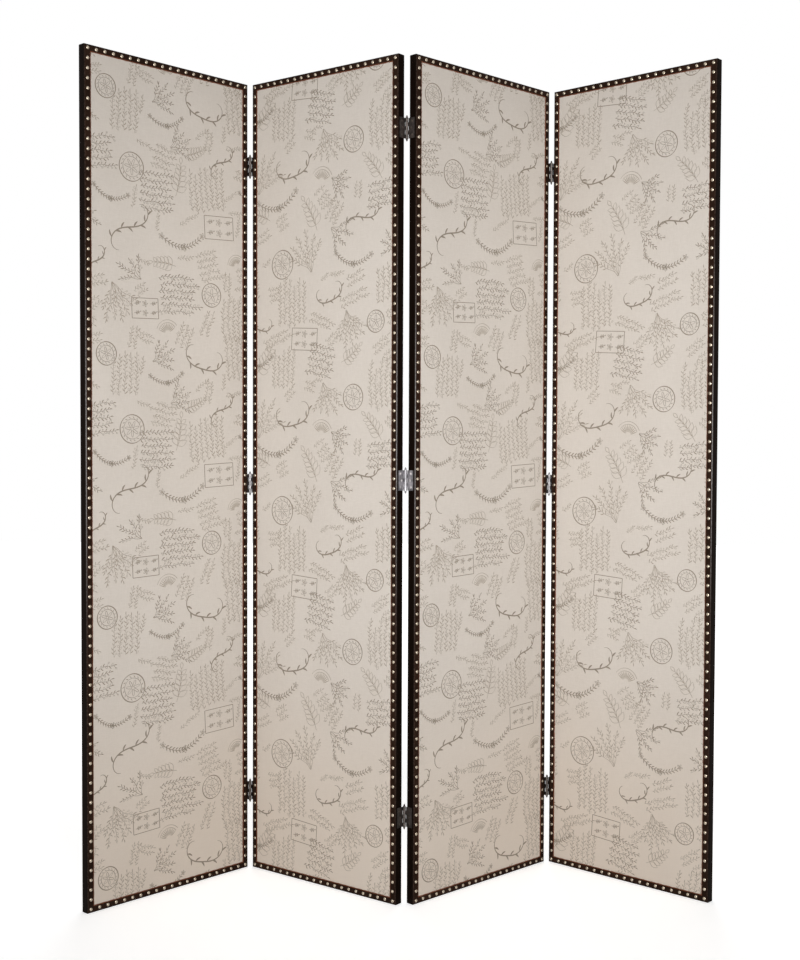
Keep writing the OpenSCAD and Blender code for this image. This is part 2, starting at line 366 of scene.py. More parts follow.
def timber_finish(name, colour, along, stretch=0.05):
    """Sawn timber whose grain is drawn out along a direction in the row's frame."""
    finish = Finish(name, {"Roughness": 0.7})
    run = finish.vector("DOT_PRODUCT", {0: finish.place(), 1: along}, "Value")
    whole = finish.vector("SCALE", {0: along, "Scale": run * (1 - stretch)})
    place = finish.vector("SUBTRACT", {0: finish.place(), 1: whole})
    grain = finish.noise(place, 130.0, 5.0, 0.65)
    finish.set({"Base Color": finish.shades(finish.ease(grain, 0.35, 0.65), colour, 0.7, 1.0)})
    finish.bump(grain, 0.0004, 0.4)
    return finish.material


def hardboard_finish(timber):
    """Pressed fibre with short flecks."""
    finish = Finish("hardboard", {"Roughness": 0.65})
    flecks = finish.noise(finish.place(), 700.0, 5.0, 0.7)
    share = finish.ease(flecks, 0.35, 0.65)
    finish.set({"Base Color": finish.shades(share, timber.hardboard, 0.75, 1.2)})
    finish.bump(flecks, 0.0002, 0.3)
    return finish.material


def colour_property(name, description, default):
    return FloatVectorProperty(
        name=name, description=description, subtype="COLOR", size=3, default=default, min=0.0, max=1.0)


def number_property(name, description, default, **kind):
    return FloatProperty(name=name, description=description, default=default, **kind)


def length_property(name, description, metres):
    return number_property(name, description, metres, unit="LENGTH")


def angle_property(name, description, degrees):
    return number_property(name, description, math.radians(degrees), subtype="ANGLE")


def pixel_property(name, description, pixels):
    return number_property(name, description, pixels, subtype="PIXEL")


class ClothSettings(PropertyGroup):
    """The sheets on the faces"""

    ground: colour_property("Ground", "Colour of the cloth", (0.69, 0.635, 0.576))
    shadow: colour_property("Shadow", "Colour between the threads", (0.575, 0.517, 0.458))
    # Painted bounce light: the warmer colour of the cloth near the floor
    painted_bounce: colour_property("Bounce", "Colour of cloth near the floor", (0.69, 0.58, 0.475))
    thread: length_property("Thread", "Distance between threads", 0.0009)
    tuck: length_property("Tuck", "Distance of the sheet's end from the panel's edge", 0.004)
    ripple: length_property("Ripple", "Height of the slow waves in the stretched cloth", 0.0003)
    pull: length_property("Pull", "Depth of the dimples that the nails draw into its border", 0.0004)
    step: length_property("Step", "Size of the sheet's squares", 0.0061)


class PrintSettings(PropertyGroup):
    """The pattern on the cloth"""

    repeat: length_property("Repeat", "Height after which the print repeats", 0.656)
    seed: IntProperty(name="Seed", description="Chooses the strokes of the print", default=11)
    strong: colour_property("Strong ink", "Colour of the boldest strokes", (0.28, 0.235, 0.187))
    plain: colour_property("Plain ink", "Colour of most strokes", (0.37, 0.317, 0.259))
    lift: length_property("Lift", "Height of the print over the cloth", 0.00012)


class LeatherSettings(PropertyGroup):
    """The edges"""

    colour: colour_property("Colour", "Colour of the leather", (0.0225, 0.0115, 0.0075))
    # Painted shade: the narrow sides are darker than the faces
    side: colour_property("Side", "Colour on the panel's narrow sides", (0.0065, 0.0036, 0.0025))
    sheen: colour_property("Sheen", "Colour of the shine", (1.0, 0.72, 0.6))
    # Partly wear and partly a painted highlight along the rounded corners
    worn_and_highlight: colour_property("Worn", "Colour where the corners are rubbed", (0.075, 0.05, 0.04))
    cut_edge: colour_property("Cut edge", "Colour of the edge beside the cloth", (0.17, 0.062, 0.034))
    grain: length_property("Grain", "Size of the pebbles", 0.0013)
    gloss: number_property("Gloss", "Roughness of the leather", 0.34)
    dent: length_property("Dent", "Depth to which a nail presses the leather", 0.0005)
    scallop: length_property("Scallop", "How far each nail draws the inner edge in", 0.0005)
    seam: length_property("Seam", "Gap at the mitred corners", 0.0003)
    step: length_property("Step", "Length of the mesh's squares along an edge", 0.00245)


class NailSettings(PropertyGroup):
    """The domed nails"""

    radius: length_property("Radius", "Radius of a head", 0.0049)
    rim: length_property("Rim", "Height of the rim of a head", 0.0002)
    wander: length_property("Wander", "How far a nail strays from its place", 0.0003)
    lean: angle_property("Lean", "How far a nail leans", 3.0)
    metal: colour_property("Metal", "Colour of the polished dome", (0.4, 0.34, 0.265))
    # Partly patina and partly a painted dark reflection at the rim of the dome
    tarnish_and_dark_reflection: colour_property("Tarnish", "Colour at the rim", (0.05, 0.026, 0.015))
    polish: number_property("Polish", "Roughness of the dome", 0.09)


class HingeSettings(PropertyGroup):
    """Leaves, pins and screws"""

    steel: colour_property("Leaf", "Colour of leaves and pins", (0.3, 0.29, 0.3))
    screw: colour_property("Screw", "Colour of the screws", (0.55, 0.53, 0.52))
    # Painted shade: darkens the upper and lower hinges, so that the middle ones carry a painted
    # highlight
    shade_tint: colour_property("Shade", "Tint of the metal where nobody rubs it", (0.43, 0.385, 0.345))


class TimberSettings(PropertyGroup):
    """The frame inside"""

    pine: colour_property("Timber", "Colour of the stiles and rails", (0.62, 0.44, 0.26))
    hardboard: colour_property("Hardboard", "Colour of the skins", (0.25, 0.15, 0.08))


class StageSettings(PropertyGroup):
    """Floor, lamps and camera"""

    eye: FloatVectorProperty(
        name="Eye", description="Place of the camera", subtype="TRANSLATION", unit="LENGTH", size=3,
        default=(0.1115, -3.5253, 1.1713))
    pitch: angle_property("Pitch", "How far the camera looks down", 1.933)
    roll: angle_property("Roll", "How far the camera leans to its left", 0.278)
    focal_pixels: pixel_property("Focal length", "Focal length in pixels of the picture", 1347.3)
    off_right: pixel_property("Off to the right", "How far right of the middle the camera points", 48.3)
    off_down: pixel_property("Off downwards", "How far below the middle the camera points", 7.8)
    picture_height: pixel_property("Picture height", "Height of the picture", 960.0)
    floor: colour_property("Floor", "Colour of the floor", (0.95, 0.95, 0.95))
    clearing: length_property("Clearing", "Distance at which the floor fades to plain white", 3.2)
    glow: number_property("Glow", "White that the floor shows to the camera near the screen", 0.5)
    left_power: number_property("Left lamps", "Power of each lamp on the left", 13.7, unit="POWER")
    right_power: number_property("Right lamps", "Power of each lamp on the right", 19.5, unit="POWER")
    sky: number_property("Sky", "Strength of the light from all round", 0.27)


SETTINGS = {
    "cloth": ClothSettings,
    "pattern": PrintSettings,
    "leather": LeatherSettings,
    "nails": NailSettings,
    "hinges": HingeSettings,
    "timber": TimberSettings,
    "stage": StageSettings,
}


class ScreenSettings(PropertyGroup):
    """The settings of all pieces, a group for each kind"""

    __annotations__ = {
        name: PointerProperty(type=group, name=name.capitalize(), description=group.__doc__)
        for name, group in SETTINGS.items()
    }


def new_piece(name, points, faces, panel, materials, shades=None):
    """Makes a mesh piece in a panel's frame that rides on the panel."""
    mesh = bpy.data.meshes.new(name)
    mesh.from_pydata(np.asarray(points).tolist(), [], faces)
    for material in materials:
        mesh.materials.append(material)
    if shades is not None:
        mesh.polygons.foreach_set("material_index", np.asarray(shades, np.int32))
    mesh.polygons.foreach_set("use_smooth", np.ones(len(mesh.polygons), bool))
    mesh.update()
    piece = bpy.data.objects.new(name, mesh)
    bpy.context.scene.collection.objects.link(piece)
    piece.matrix_world = panel.matrix
    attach(piece, panel.body)
    return piece


def grid_faces(rows, columns, first=0, closed=False, flip=False):
    """Squares between rows of points; a closed grid joins its last column to its first."""
    row, column = np.mgrid[0:rows - 1, 0:columns if closed else columns - 1]
    after = (column + 1) % columns
    a = first + row * columns + column
    b = first + row * columns + after
    c = first + (row + 1) * columns + after
    d = first + (row + 1) * columns + column
    order = (a, d, c, b) if flip else (a, b, c, d)
    return zipped(*order).reshape(-1, 4).tolist()


def joined(parts):
    """Several meshes as one: its points and its faces."""
    points, faces = [], []
    for part_points, part_faces in parts:
        faces += [[corner + len(points) for corner in face] for face in part_faces]
        points += part_points.tolist()
    return points, faces


def nearest(points, places, reach):
    """Distance from each point to the nearest place, where it is under the reach."""
    found = np.full(len(points), reach)
    for place in places:
        near = np.abs(points - place).max(axis=1) < reach
        found[near] = np.minimum(found[near], np.linalg.norm(points[near] - place, axis=1))
    return found


# Slow waves of the stretched cloth: strength, waves across and up, start, and its change by panel
WAVES = ((1.0, 9.1, 2.3, 0.0, 0.7), (0.6, -6.1, 4.3, 1.9, 0.0), (0.4, 3.0, 13.7, 0.0, 1.0))


def cloth_lift(cloth, panel, u, z):
    """Height of the stretched cloth over its flat plane: slow waves, and dimples along the nails."""
    waves = sum(
        strength * np.sin(across * u + up * z + (start + change * panel.number))
        for strength, across, up, start, change in WAVES
    )
    margin = panel.from_edge(u, z)
    still_border, dimple_reach = 0.05, 0.009
    fade = np.clip((margin - NAIL_INSET) / still_border, 0.0, 1.0)
    pitch = np.diff(np.unique(CAD_NAILS[:, 1])).mean()
    along = np.where(np.minimum(u, panel.width - u) < np.minimum(z, panel.height - z), z, u)
    beside_nail = 0.5 * (1 + np.cos((along - NAIL_INSET) * math.tau / pitch))
    dimples = beside_nail * np.exp(-margin / dimple_reach)
    return cloth.ripple * (0.5 + 0.25 * waves) * fade - cloth.pull * dimples


def cloth_grid(cloth, panel):
    """The sheet's rows of u and z."""
    columns = round((panel.width - 2 * cloth.tuck) / cloth.step) + 1
    rows = round((panel.height - 2 * cloth.tuck) / cloth.step) + 1
    u = np.linspace(cloth.tuck, panel.width - cloth.tuck, columns)
    z = np.linspace(cloth.tuck, panel.height - cloth.tuck, rows)
    return np.meshgrid(u, z)


def cloth_sheet(settings, panel, face, finish):
    """One face's cloth, as thick as the CAD sheet, with its waves on the side that shows."""
    side = FACES[face]
    under = float(np.abs(panel.local(f"skin_{face}")[:, 1]).max())
    u, z = cloth_grid(settings, panel)
    rows, columns = u.shape
    lift = cloth_lift(settings, panel, u, z)
    top = outward(side, u, panel.cloth + lift, z, panel.width).reshape(-1, 3)
    base = outward(side, u, np.full(u.shape, under), z, panel.width).reshape(-1, 3)
    count = rows * columns
    faces = grid_faces(rows, columns) + grid_faces(rows, columns, count, flip=True)
    index = np.arange(count).reshape(rows, columns)
    rim = np.concatenate([index[0, :-1], index[:-1, -1], index[-1, :0:-1], index[:0:-1, 0]])
    after = np.roll(rim, -1)
    faces += zipped(rim, rim + count, after + count, after).tolist()
    name = f"cloth_{panel.number}_{face}"
    piece = new_piece(name, np.vstack([top, base]), faces, panel, [finish])
    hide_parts(panel.node(f"fabric_{face}"))
    return piece


STRONG, PLAIN = range(2)
# The broad pen's line is thinnest in this direction
PEN_ANGLE = math.radians(35.0)


def turned(points, angle):
    """Points turned about the origin."""
    c, s = math.cos(angle), math.sin(angle)
    return np.asarray(points, float) @ np.array([[c, s], [-s, c]])


def line(points, nib):
    """A stroke as wide as a broad pen makes it in each direction."""
    return np.asarray(points, float), nib, False


def swell(points, nib):
    """A stroke that swells between two points, as a leaf does."""
    return np.asarray(points, float), nib, True


def placed(shapes, spot, angle=0.0):
    """Shapes turned about their origin and moved to a place."""
    return [(turned(points, angle) + spot, nib, swells) for points, nib, swells in shapes]


class Drawing:
    """Strokes of the print on one tile, in metres, and the ground that they cover."""

    def __init__(self, width, height, seed):
        self.width = width
        self.height = height
        self.dice = random.Random(seed)
        self.strokes = []
        self.cell = 0.008
        self.taken = np.zeros((int(height / self.cell) + 1, int(width / self.cell) + 1), bool)

    def put(self, shapes, ink):
        """Keeps shapes as points, widths and ink."""
        for points, nib, swells in shapes:
            if swells:
                width = nib * np.sin(np.linspace(0.15, math.pi - 0.1, len(points))) ** 0.7
            else:
                slope = np.gradient(points, axis=0)
                angle = np.arctan2(slope[:, 1], slope[:, 0])
                width = nib * (0.5 + 0.5 * np.abs(np.sin(angle - PEN_ANGLE)))
            self.strokes.append((points, width, ink))

    def cells(self, corners):
        """Cells of the tile inside a four-cornered block; the tile wraps round in height."""
        low, high = corners.min(axis=0), corners.max(axis=0)
        gx, gz = np.meshgrid(
            np.arange(low[0], high[0], self.cell), np.arange(low[1], high[1], self.cell)
        )
        inside = np.ones(gx.shape, bool)
        for first, second in zip(corners, np.roll(corners, -1, axis=0)):
            edge = second - first
            inside &= edge[0] * (gz - first[1]) - edge[1] * (gx - first[0]) >= 0
        gx, gz = gx[inside], gz[inside]
        keep = (gx >= 0) & (gx < self.width)
        return (gz[keep] % self.height / self.cell).astype(int), (gx[keep] / self.cell).astype(int)

    def claim(self, spot, width, height, angle, allowed=1.0):
        """Takes a block of the tile if no more than the allowed share of it is taken."""
        half = np.array([[-1, -1], [1, -1], [1, 1], [-1, 1]]) * (width / 2, height / 2)
        rows, columns = self.cells(turned(half, angle) + spot)
        if len(rows) == 0 or self.taken[rows, columns].mean() > allowed:
            return False
        self.taken[rows, columns] = True
        return True


def arc(radius, start=0.0, end=math.tau, count=48):
    """Points on a circle about the origin."""
    t = np.linspace(start, end, count)
    return radius * zipped(np.cos(t), np.sin(t))


def blade(length, bend=0.2):
    """A leaf drawn in one swelling stroke."""
    t = np.linspace(0.0, 1.0, 5)
    return swell(length * zipped(t, bend * t * (1 - t) * 2), 0.26 * length)


def leaf(length, nib, bend=0.26):
    """Outline of a leaf from its stem to its tip and back."""
    t = np.linspace(0.0, 1.0, 6)
    belly = bend * np.sin(math.pi * t) ** 1.2
    there = zipped(t, belly)
    return line(length * np.vstack([there, there[-2::-1] * (1, -1)]), nib)


def tendril(length, nib):
    """A stalk that winds up at its end."""
    t = np.linspace(0.0, 1.0, 11)
    turn = 6.4 * t * t
    reach = (1.05 - t) * 0.42 * length
    x = length * 0.8 * t + reach * np.sin(turn)
    return line(zipped(x, reach * (1 - np.cos(turn))), nib)


def bud(length, nib):
    """A stalk with a ring at its end."""
    ring = arc(length * 0.2, math.pi, 3 * math.pi, 8) + (length, 0.0)
    return line(np.vstack([[(0.0, 0.0)], ring]), nib)


def waving(x, size, start):
    """How far a stem waves off its line at x."""
    return 0.16 * size * np.sin(1.5 * x / size + start)


def vine(dice, length, size, nib, bare=0.0):
    """A waving stem with leaves on alternate sides and one at its end, and a bud or tendril at times.

    Nothing grows on its bare first part."""
    start = dice.uniform(0.0, math.tau)
    x = np.arange(0.0, length, 0.4 * size)
    shapes = [line(zipped(x, waving(x, size, start)), nib)]
    side = dice.choice((-1, 1))
    at = bare + 0.2 * size
    while at < length - 0.3 * size:
        kind = dice.choices((blade, leaf, bud, tendril), (7, 2, 1, 1))[0]
        grown = size * dice.uniform(0.75, 1.05)
        points, wide, swells = kind(grown) if kind is blade else kind(grown, 0.8 * nib)
        mirrored = (points * (1, side), wide, swells)
        shapes += placed([mirrored], (at, waving(at, size, start)), side * dice.uniform(0.6, 0.95))
        side = -side
        at += size * dice.uniform(0.42, 0.6)
    return shapes + placed([blade(0.9 * size)], (x[-1], waving(x[-1], size, start)))


def bowed(shapes, bow):
    """Shapes that lie along x, bent to one side as they go out from the origin."""
    return [
        (points + np.outer(bow * points[:, 0] ** 2, (0.0, 1.0)), nib, swells)
        for points, nib, swells in shapes
    ]


def vine_block(dice, width, rows, gap, size, nib):
    """Vines side by side, all bent alike."""
    shapes = []
    bow = dice.uniform(-1.6, 1.6)
    for row in range(rows):
        start = dice.uniform(-0.5, -0.4) * width
        length = width * dice.uniform(0.78, 0.98)
        middle = placed(vine(dice, length, size, nib), (start, (rows / 2 - row - 0.5) * gap))
        shapes += bowed(middle, bow)
    return shapes


def spray(dice, reach, stems, size, nib):
    """Leafy stems that spread from one root, centred on the middle of their reach."""
    shapes = []
    for number, angle in enumerate(np.linspace(-0.55, 0.55, stems)):
        length = reach * dice.uniform(0.75, 1.0) * (1 - 0.35 * abs(angle))
        stem = vine(dice, length, size, nib, reach * (0.3 if number % 2 else 0.18))
        shapes += placed(bowed(stem, 0.5 * angle / reach), (-reach / 2, 0.0), angle)
    return shapes


def leaf_on(points, at, length, lean):
    """A leaf on a curve, which leans away from the way that the curve runs there."""
    x, z = points[at + 1] - points[at]
    return placed([blade(length)], points[at], math.atan2(z, x) + lean)


def garland(width, sag, nib=0.0018):
    """A hanging curve with leaves in pairs, a flower in the middle and one at each end."""
    t = np.linspace(0.0, 1.0, 28)
    points = zipped(width * (t - 0.5), 4 * sag * (t * t - t))
    shapes = [line(points, nib)]
    for k in range(2, 26, 2):
        for side in (-1, 1):
            shapes += leaf_on(points, k, width * 0.085, 0.8 * side)
    for spot, radius in ((points[0], 0.07), (points[14], 0.085), (points[-1], 0.07)):
        shapes += placed(rosette(width * radius, 5), spot)
    return shapes


def scroll(size, wind, bow):
    """A stroke that curls up at both ends, as a bow or as a wave, with leaves along it."""
    s = np.linspace(-wind, wind, 70)
    step = s[1] - s[0]
    up = np.sin(s * s) * (np.sign(s) if bow else 1.0)
    points = zipped(np.cumsum(np.cos(s * s)), np.cumsum(up)) * step
    points -= points.mean(axis=0)
    points *= size / np.ptp(points[:, 0])
    shapes = [swell(points, 0.0036)]
    for k in range(14, 60, 6):
        shapes += leaf_on(points, k, size * 0.15, 0.75 if k % 4 else -0.75)
    return shapes


def sprig(length, pairs, nib=0.0015):
    """A bent stem with leaves in pairs and one at its end."""
    t = np.linspace(0.0, 1.0, 14)
    shapes = [line(zipped(t, 0.18 * t * t) * length, nib)]
    for k in range(pairs):
        at = (k + 1) / (pairs + 1)
        root = np.array([at, 0.18 * at * at]) * length
        grown = length * 0.36 * (1.15 - 0.6 * at)
        for side in (-1, 1):
            shapes += placed([leaf(grown, nib)], root, side * 0.85 + 0.36 * at)
    return shapes + placed([leaf(length * 0.22, nib)], (length, 0.18 * length), 0.36)


def rosette(radius, petals, nib=0.0013):
    """A flower of looped petals round a small ring."""
    t = np.linspace(0.0, math.tau, 10 * petals)
    reach = radius * (0.62 + 0.38 * np.cos(petals * t))
    looped = zipped(reach * np.cos(t), reach * np.sin(t))
    return [line(looped, nib), line(arc(radius * 0.2, count=9), nib)]


def wheel(radius, petals):
    """A flower in two rings with leaves between them."""
    shapes = [line(arc(radius), 0.003), line(arc(radius * 0.7, count=36), 0.0016)]
    for k in range(16):
        angle = math.tau * k / 16
        root = (0.76 * radius * math.cos(angle), 0.76 * radius * math.sin(angle))
        shapes += placed([blade(radius * 0.2)], root, angle + 0.9)
    return shapes + rosette(radius * 0.58, petals)


def fan(radius, ribs):
    """An open fan of ribs under two arcs."""
    right, left = 0.5, math.pi - 0.5
    shapes = [line(arc(radius * part, right, left, 20), 0.0016) for part in (1.0, 0.8)]
    rib = swell(np.linspace((0.25, 0.0), (0.78, 0.0), 4) * radius, 0.0024)
    for angle in np.linspace(right, left, ribs):
        shapes += placed([rib], (0, 0), angle)
    return shapes


def picture_frame(width, height):
    """A drawn oblong round two rows of small flowers and sprigs."""
    shapes = []
    corners = np.array([(-1, -1), (1, -1), (1, 1), (-1, 1)]) * (width / 2, height / 2)
    for first, second in zip(corners, np.roll(corners, -1, axis=0)):
        shapes.append(line(np.linspace(first, second, 9), 0.0022))
    for row in (-1, 1):
        for column in (-1, 0, 1):
            spot = np.array([column * width * 0.31, row * height * 0.23])
            if (row + column) % 2:
                shapes += placed(rosette(height * 0.17, 5), spot)
            else:
                shapes += placed(sprig(height * 0.34, 2), spot - (height * 0.17, 0))
    return shapes


# Motifs of the tile: place x and z, size, and what shapes or turns them
WHEELS = (
    (0.135, 0.545, 0.036, 7), (0.385, 0.245, 0.031, 5), (0.06, 0.075, 0.029, 6),
    (0.62, 0.12, 0.038, 8), (0.87, 0.42, 0.033, 6), (0.945, 0.61, 0.028, 5),
)
FRAMES = ((0.41, 0.425, 0.095, 0.05), (0.70, 0.575, 0.09, -0.06), (0.175, 0.195, 0.08, 0.04))
SCROLLS = (
    (0.13, 0.395, 0.12, 0.15), (0.36, 0.07, 0.12, -0.2), (0.42, 0.6, 0.085, 0.25),
    (0.66, 0.37, 0.12, 0.2), (0.9, 0.22, 0.1, -0.2), (0.79, 0.03, 0.09, 0.3),
    (0.03, 0.3, 0.07, 0.4), (0.54, 0.62, 0.08, -0.3),
)
SPRIGS = (
    (0.27, 0.49, 0.085, 1.2), (0.52, 0.485, 0.095, 0.7), (0.745, 0.2, 0.09, 1.9),
    (0.965, 0.31, 0.08, 2.1), (0.3, 0.6, 0.06, 0.2), (0.575, 0.24, 0.07, 2.6),
    (0.27, 0.31, 0.07, 2.9), (0.83, 0.51, 0.07, 0.4),
)
FANS = ((0.245, 0.135, 0.036, 0.2), (0.76, 0.325, 0.038, -0.15), (0.47, 0.33, 0.03, 0.5))
GARLANDS = (
    (0.29, 0.39, 0.13, 0.1), (0.075, 0.48, 0.1, -0.15), (0.6, 0.3, 0.14, 0.15),
    (0.87, 0.13, 0.12, -0.1), (0.24, 0.03, 0.1, 0.1), (0.53, 0.53, 0.1, 0.05),
)


def accents(drawing):
    """The larger motifs, at listed places."""
    for x, z, radius, petals in WHEELS:
        drawing.claim((x, z), radius * 2.2, radius * 2.2, 0.0)
        drawing.put(placed(wheel(radius, petals), (x, z), 0.3 * petals), STRONG)
    for x, z, width, angle in FRAMES:
        drawing.claim((x, z), width * 1.1, width * 0.76, angle)
        drawing.put(placed(picture_frame(width, width * 0.64), (x, z), angle), STRONG)
    for number, (x, z, size, angle) in enumerate(SCROLLS):
        drawing.claim((x, z), size, size * 0.6, angle)
        drawing.put(placed(scroll(size, 1.8, number % 2 == 1), (x, z), angle), STRONG)
    for x, z, length, angle in SPRIGS:
        middle = np.array([math.cos(angle), math.sin(angle)]) * length / 2 + (x, z)
        drawing.claim(middle, length, length * 0.55, angle)
        drawing.put(placed(sprig(length, 5), (x, z), angle), PLAIN)
    for x, z, radius, angle in FANS:
        drawing.claim((x, z + radius * 0.5), radius * 2, radius * 1.1, 0.0)
        drawing.put(placed(fan(radius, 11), (x, z), angle), PLAIN)
    for x, z, width, angle in GARLANDS:
        drawing.claim((x, z - 0.1 * width), 1.15 * width, 0.45 * width, angle)
        drawing.put(placed(garland(width, 0.22 * width), (x, z), angle), STRONG)


# Fields of vines: tries, least and most stems, widths, gap, vine size, nib, angles, ink and spread
FIELDS = (
    (40, (5, 7), (0.1, 0.13), 0.0175, 0.0112, 0.0013, (1.2, 2.0, -1.3), PLAIN, True),
    (60, (5, 8), (0.1, 0.16), 0.0172, 0.0105, 0.0013, (math.pi / 2,), PLAIN, False),
    (150, (4, 7), (0.1, 0.17), 0.0176, 0.0108, 0.0014, (0.1, 0.3, -0.15), STRONG, False),
    (150, (4, 5), (0.07, 0.09), 0.015, 0.0098, 0.0013, (0.4, 2.4, -0.6, -2.2), STRONG, True),
    (300, (2, 5), (0.06, 0.12), 0.0165, 0.0098, 0.0013, (0.3, 0.9, -0.3, 1.2), PLAIN, False),
    (700, (1, 3), (0.035, 0.07), 0.0145, 0.009, 0.0012, (0.2, 0.6, -0.4, 1.4), PLAIN, False),
)


def printed_tile(settings, width):
    """All strokes of the tile: the larger motifs, then fields of vines wherever there is room."""
    drawing = Drawing(width, settings.repeat, settings.seed)
    accents(drawing)
    dice = drawing.dice
    for tries, stems_range, widths, gap, size, nib, angles, ink, spread in FIELDS:
        for _ in range(tries):
            stems = dice.randint(*stems_range)
            across = dice.uniform(*widths)
            angle = dice.choice(angles) + dice.uniform(-0.1, 0.1)
            spot = (dice.uniform(0.0, width), dice.uniform(0.0, settings.repeat))
            height = across * 0.8 if spread else stems * gap
            if not drawing.claim(spot, across, height, angle, allowed=0.1):
                continue
            if spread:
                shapes = spray(dice, across, stems, size, nib)
            else:
                shapes = vine_block(dice, across, stems, gap, size, nib)
            drawing.put(placed(shapes, spot, angle), ink)
    return drawing.strokes


def clipped(strokes, start, repeat, cut, low, high):
    """The tile's strokes on one face: repeated upwards and cut off at the sheet's borders."""
    for number in range(-1, math.ceil(high[1] / repeat) + 1):
        shift = np.array([-cut, start + number * repeat])
        for points, widths, ink in strokes:
            moved = points + shift
            inside = ((moved > low) & (moved < high)).all(axis=1)
            if not inside.any():
                continue
            breaks = np.flatnonzero(np.diff(inside.astype(int))) + 1
            for piece in np.split(np.arange(len(moved)), breaks):
                if inside[piece[0]] and len(piece) > 1:
                    yield moved[piece], widths[piece], ink


def ribbons(strokes):
    """Flat ribbons along strokes: their points, squares and inks."""
    points, faces, inks = [], [], []
    first = 0
    for path, widths, ink in strokes:
        slope = np.gradient(path, axis=0)
        slope /= np.maximum(np.linalg.norm(slope, axis=1, keepdims=True), 1e-9)
        across = zipped(-slope[:, 1], slope[:, 0]) * widths[:, None] / 2
        points.append(np.stack([path - across, path + across], axis=1).reshape(-1, 2))
        at = first + 2 * np.arange(len(path) - 1)
        faces.append(zipped(at, at + 2, at + 3, at + 1))
        inks.append(np.full(len(path) - 1, ink))
        first += 2 * len(path)
    return np.vstack(points), np.vstack(faces), np.concatenate(inks)


# How much higher the print starts on the even panels than on the odd ones
EVEN_START = 0.21


def face_print(cloth, pattern, panel, face, tile, inks):
    """The print on one face, a hair over the cloth; odd and even panels are cut from two widths."""
    side = FACES[face]
    odd = panel.number % 2 == 1
    cut = 0.0 if odd == (side == FRONT) else panel.width
    start = 0.0 if odd else EVEN_START
    low = np.array([cloth.tuck, cloth.tuck])
    high = np.array([panel.width, panel.height]) - cloth.tuck
    flat, faces, shades = ribbons(clipped(tile, start, pattern.repeat, cut, low, high))
    u, z = flat[:, 0], flat[:, 1]
    depth = panel.cloth + cloth_lift(cloth, panel, u, z) + pattern.lift
    points = outward(side, u, depth, z, panel.width)
    name = f"print_{panel.number}_{face}"
    return new_piece(name, points, faces.tolist(), panel, inks, shades)


class SCREEN_OT_cloth(Operator):
    """Stretch the printed cloth over both faces of each panel"""
    bl_idname = "screen.cloth"
    bl_label = "Printed cloth"

    def execute(self, context):
        settings = context.scene.folding_screen
        finish = cloth_finish(settings.cloth)
        inks = [
            ink_finish("strong ink", settings.pattern.strong),
            ink_finish("plain ink", settings.pattern.plain),
        ]
        tile = printed_tile(settings.pattern, 2 * PANELS[0].width)
        for panel in PANELS:
            for face in FACES:
                sheet = cloth_sheet(settings.cloth, panel, face, finish)
                pattern = face_print(settings.cloth, settings.pattern, panel, face, tile, inks)
                panel.node(f"skin_{face}")
        return {"FINISHED"}


def band_section(panel):
    """Section of the leather round an edge, as rows of distance from the edge and depth.

    It runs over the front, the edge and the back, and then back along the inside."""
    wide, face, corner = panel.leather_width, panel.face, panel.corner
    thick = face - panel.cloth
    soft = thick * 0.35
    cut = [(wide, panel.cloth), (wide - soft * 0.3, face - soft), (wide - soft, face)]
    flat = [(inset, face) for inset in np.linspace(wide - 0.002, corner, 8)]
    rounded = [
        (corner * (1 - math.sin(angle)), face - corner * (1 - math.cos(angle)))
        for angle in np.linspace(0.0, math.pi / 2, 6)[1:]
    ]
    half = np.array(cut + flat + rounded)
    middle = [(0.0, depth) for depth in np.linspace(-face / 3, face / 3, 3)]
    inner = [(thick, panel.cloth), (thick, -panel.cloth)]
    return np.vstack([half * (1, FRONT), middle, half[::-1], inner])


def pressed(leather, panel, inset, depth, along, nails):
    """Leather moved by the nails: dented under each head, its inner edge drawn in beside it."""
    shown = (np.abs(depth) > panel.face - HAIR)[None, :]
    place = zipped(np.broadcast_to(inset, along.shape), along).reshape(-1, 2)
    spots = zipped(np.full(len(nails), NAIL_INSET), nails)
    away = nearest(place, spots, 2.2 * NAIL_INSET).reshape(along.shape)
    dent = leather.dent * np.exp(-((away / (0.62 * NAIL_INSET)) ** 2)) * shown
    past_ring = (away - 1.15 * NAIL_INSET) / (0.4 * NAIL_INSET)
    ring = 0.3 * leather.dent * np.exp(-(past_ring**2)) * shown
    pitch = (nails[-1] - nails[0]) / (len(nails) - 1)
    beside = 0.5 + 0.5 * np.cos((along - nails[0]) * math.tau / pitch)
    wide = panel.leather_width
    near_cut = np.clip((inset - 0.7 * wide) / (0.3 * wide), 0.0, 1.0)
    return ring - dent, leather.scallop * beside * near_cut[None, :]


def band_strip(leather, panel, edge):
    """One mitred strip of leather, closed all round."""
    upright, far = edge in ("left", "right"), edge in ("right", "top")
    length, other = (panel.height, panel.width) if upright else (panel.width, panel.height)
    inset, depth = band_section(panel).T
    nails = np.unique(CAD_NAILS[:, 1 if upright else 0])
    rows = round(length / leather.step) + 1
    share = np.linspace(0.0, 1.0, rows)[:, None]
    end = inset + leather.seam / 2
    along = end + share * (length - 2 * end)
    lift, draw = pressed(leather, panel, inset, depth, along, nails)
    across = np.broadcast_to(inset, along.shape) - draw
    if far:
        across = other - across
    out = np.sign(depth) * (np.abs(depth) + lift)
    points = zipped(across, out, along) if upright else zipped(along, out, across)
    columns = len(inset)
    flip = upright == far
    faces = grid_faces(rows, columns, closed=True, flip=flip)
    first, last = list(range(columns)), list(range((rows - 1) * columns, rows * columns))
    faces += [first if flip else first[::-1], last[::-1] if flip else last]
    return points.reshape(-1, 3), faces


